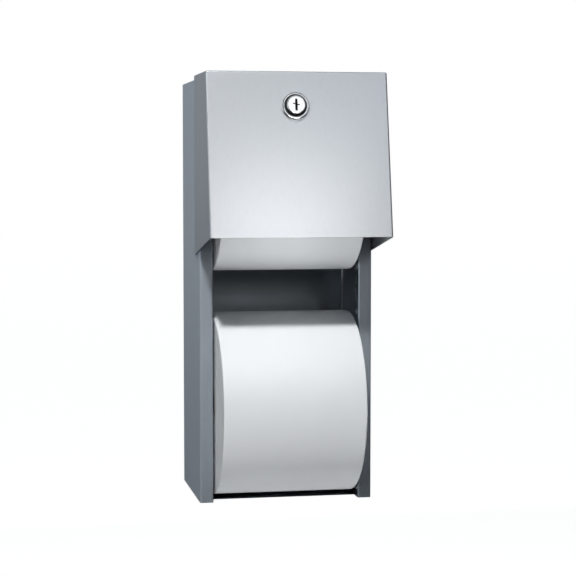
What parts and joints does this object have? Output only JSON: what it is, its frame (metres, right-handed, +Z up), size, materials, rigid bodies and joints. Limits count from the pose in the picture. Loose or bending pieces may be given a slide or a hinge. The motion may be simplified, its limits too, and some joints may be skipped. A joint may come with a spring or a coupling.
{
  "type": "double roll toilet paper dispenser",
  "caption": "Wall-mounted steel toilet paper dispenser with a locking hinged hood over a reserve roll, an open working roll below, and spindles in guide rails.",
  "frame": {"origin": "centre of the rectangle of four wall screw holes, on the wall plane", "axes": "+X to the viewer's right, +Y into the wall, +Z up; the front faces -Y"},
  "size_m": [0.1442, 0.178, 0.3466],
  "materials": {
    "satin_steel": "satin",
    "inner_steel": "satin",
    "lock_chrome": "polished",
    "lock_zinc": "satin",
    "wafer_brass": "satin",
    "stud_steel": "satin",
    "spring_steel": "satin",
    "bearing_nylon": "matte",
    "pawl_plastic": "matte",
    "spindle_plastic": "satin",
    "core_board": "matte",
    "tissue_paper": "matte"
  },
  "bodies": {
    "cabinet": {"cabinet_wrap": "satin_steel", "cabinet_top": "satin_steel", "cabinet_bottom": "satin_steel", "lock_strike": "inner_steel", "left_guide_rail": "inner_steel", "right_guide_rail": "inner_steel", "left_pawl_stud": "stud_steel", "right_pawl_stud": "stud_steel", "left_pawl_clip": "spring_steel", "right_pawl_clip": "spring_steel", "left_hinge_bush": "bearing_nylon", "right_hinge_bush": "bearing_nylon", "lower_spindle_tube": "spindle_plastic", "lower_spindle_ends": "spindle_plastic"},
    "door": {"door_hood": "satin_steel", "left_hinge_stud": "stud_steel", "right_hinge_stud": "stud_steel", "left_hinge_clip": "spring_steel", "right_hinge_clip": "spring_steel", "lock_housing": "lock_chrome", "lock_nut": "lock_zinc"},
    "lock_core": {"lock_plug": "lock_chrome", "lock_wafers": "wafer_brass", "lock_cam": "lock_zinc", "lock_cam_screw": "lock_zinc"},
    "lower_roll": {"lower_core": "core_board", "lower_paper": "tissue_paper"},
    "reserve_spindle": {"reserve_spindle_tube": "spindle_plastic", "reserve_spindle_ends": "spindle_plastic"},
    "reserve_roll": {"reserve_core": "core_board", "reserve_paper": "tissue_paper"},
    "left_pawl_arm": {"left_pawl": "pawl_plastic", "left_pawl_spring": "spring_steel"},
    "right_pawl_arm": {"right_pawl": "pawl_plastic", "right_pawl_spring": "spring_steel"}
  },
  "joints": [
    {"name": "door_hinge", "type": "hinge", "parent": "cabinet", "child": "door", "pos_m": [0, -0.0925, 0.0395], "axis": [1, 0, 0], "range_deg": [0, 60]},
    {"name": "lock_turn", "type": "hinge", "parent": "door", "child": "lock_core", "pos_m": [-0.0024, -0.15908, 0.148], "axis": [0, -0.983, 0.1835], "range_deg": [0, 90]},
    {"name": "lower_roll_spin", "type": "hinge", "parent": "cabinet", "child": "lower_roll", "pos_m": [0, -0.0775, -0.0935], "axis": [1, 0, 0], "continuous": true},
    {"name": "reserve_drop", "type": "slide", "parent": "cabinet", "child": "reserve_spindle", "axis": [0, 0, 1], "range_m": [-0.034, 0]},
    {"name": "reserve_roll_spin", "type": "hinge", "parent": "reserve_spindle", "child": "reserve_roll", "pos_m": [0, -0.0775, 0.0912], "axis": [1, 0, 0], "continuous": true},
    {"name": "left_pawl_turn", "type": "hinge", "parent": "cabinet", "child": "left_pawl_arm", "pos_m": [0, -0.0545, 0.0872], "axis": [1, 0, 0], "range_deg": [0, 90]},
    {"name": "right_pawl_turn", "type": "hinge", "parent": "cabinet", "child": "right_pawl_arm", "pos_m": [0, -0.0545, 0.0872], "axis": [1, 0, 0], "range_deg": [0, 90]}
  ],
  "couplings": [
    {"joint": "left_pawl_turn", "follows": "reserve_drop", "rad_per_m": -46.1},
    {"joint": "right_pawl_turn", "follows": "reserve_drop", "rad_per_m": -46.1}
  ]
}
